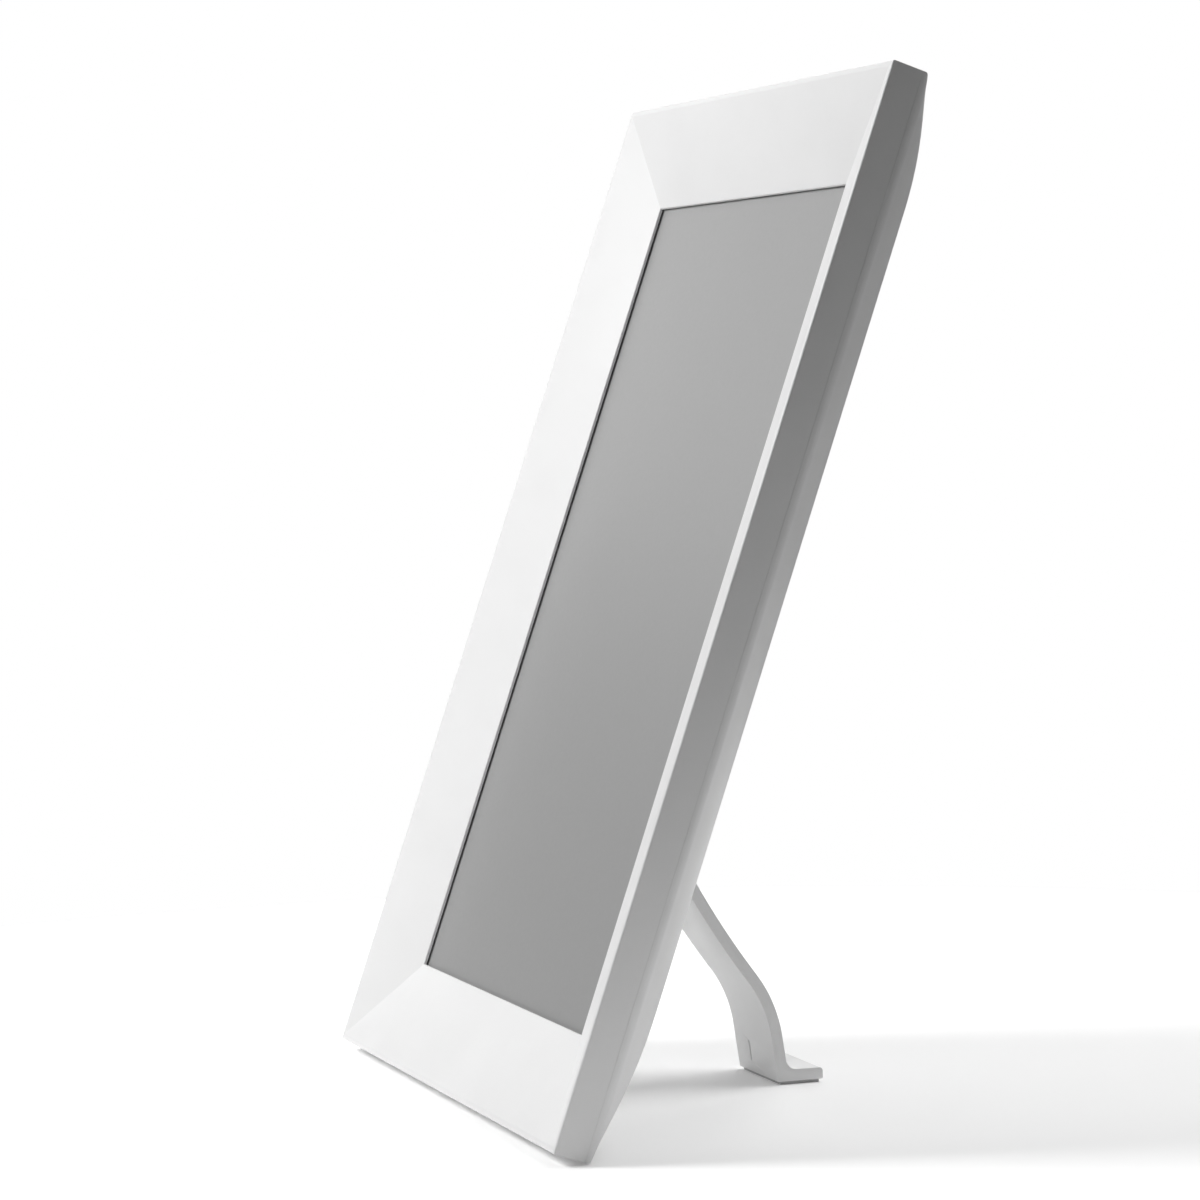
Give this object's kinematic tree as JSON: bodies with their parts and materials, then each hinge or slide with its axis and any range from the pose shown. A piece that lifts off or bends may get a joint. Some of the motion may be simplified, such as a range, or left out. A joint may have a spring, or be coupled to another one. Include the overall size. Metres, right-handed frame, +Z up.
{
  "type": "digital photo frame",
  "caption": "Upright digital photo frame with a scooped mitred border, a matte screen, a crowned back and a curved fold-out back leg with a turned-out foot.",
  "frame": {"origin": "middle of the footprint (frame and leg together), on the table top", "axes": "+Z up, the screen faces -Y and leans back by about 20 degrees, +X to the right as seen from the front"},
  "size_m": [0.1908, 0.1028, 0.258],
  "materials": {
    "housing_white": "fine satin moulded white ABS",
    "button_white": "satin moulded keys",
    "screen_grey": "matte anti-glare screen film",
    "rubber_grey": "soft grey rubber",
    "black_plastic": "matte black",
    "steel": "plated sheet steel",
    "board_green": "solder mask",
    "light_guide": "clear acrylic sheet",
    "led_bar": "white board with lamps",
    "ribbon_copper": "polyimide ribbon",
    "ribbon_white": "flat flexible cable"
  },
  "bodies": {
    "housing": {"front_bezel": "housing_white", "back_cover": "housing_white", "screen_panel": "screen_grey", "screen_gasket": "black_plastic", "light_guide": "light_guide", "backlight_bar": "led_bar", "panel_back_tray": "steel", "panel_clamp_bottom": "steel", "panel_clamp_top": "steel", "main_board": "board_green", "button_board": "board_green", "card_socket": "steel", "usb_socket": "steel", "power_inlet": "black_plastic", "processor_shield": "steel", "clock_battery": "steel", "panel_ribbon": "ribbon_copper", "button_ribbon": "ribbon_white", "speaker_left": "black_plastic", "speaker_right": "black_plastic", "hinge_bracket": "steel", "hinge_pin": "steel", "hinge_washer_left": "steel", "hinge_washer_right": "steel", "edge_strip_left": "rubber_grey", "edge_strip_right": "rubber_grey", "cover_screw_1": "steel", "board_screw_1": "steel", "cover_screw_2": "steel", "board_screw_2": "steel", "cover_screw_3": "steel", "board_screw_3": "steel", "cover_screw_4": "steel", "board_screw_4": "steel", "bracket_screw_1": "steel", "bracket_screw_2": "steel"},
    "leg": {"stand_leg": "housing_white", "foot_sole": "rubber_grey"},
    "slider": {"power_slider": "button_white"},
    "menu_key": {"menu_button": "button_white"},
    "up_key": {"up_button": "button_white"},
    "down_key": {"down_button": "button_white"},
    "enter_key": {"enter_button": "button_white"},
    "exit_key": {"exit_button": "button_white"}
  },
  "joints": [
    {"name": "leg_fold", "type": "hinge", "parent": "housing", "child": "leg", "pos_m": [0, -0.0014, 0.08554], "axis": [-1, 0, 0], "range_deg": [0, 47]},
    {"name": "menu_press", "type": "slide", "parent": "housing", "child": "menu_key", "axis": [0, -0.9405, 0.3397], "range_m": [0, 0.0006], "stiffness_N_per_m": 400, "springref_m": -0.0003},
    {"name": "up_press", "type": "slide", "parent": "housing", "child": "up_key", "axis": [0, -0.9405, 0.3397], "range_m": [0, 0.0006], "stiffness_N_per_m": 400, "springref_m": -0.0003},
    {"name": "down_press", "type": "slide", "parent": "housing", "child": "down_key", "axis": [0, -0.9405, 0.3397], "range_m": [0, 0.0006], "stiffness_N_per_m": 400, "springref_m": -0.0003},
    {"name": "enter_press", "type": "slide", "parent": "housing", "child": "enter_key", "axis": [0, -0.9405, 0.3397], "range_m": [0, 0.0006], "stiffness_N_per_m": 400, "springref_m": -0.0003},
    {"name": "exit_press", "type": "slide", "parent": "housing", "child": "exit_key", "axis": [0, -0.9405, 0.3397], "range_m": [0, 0.0006], "stiffness_N_per_m": 400, "springref_m": -0.0003},
    {"name": "power_slide", "type": "slide", "parent": "housing", "child": "slider", "axis": [0, 0.3397, 0.9405], "range_m": [0, 0.003]}
  ]
}
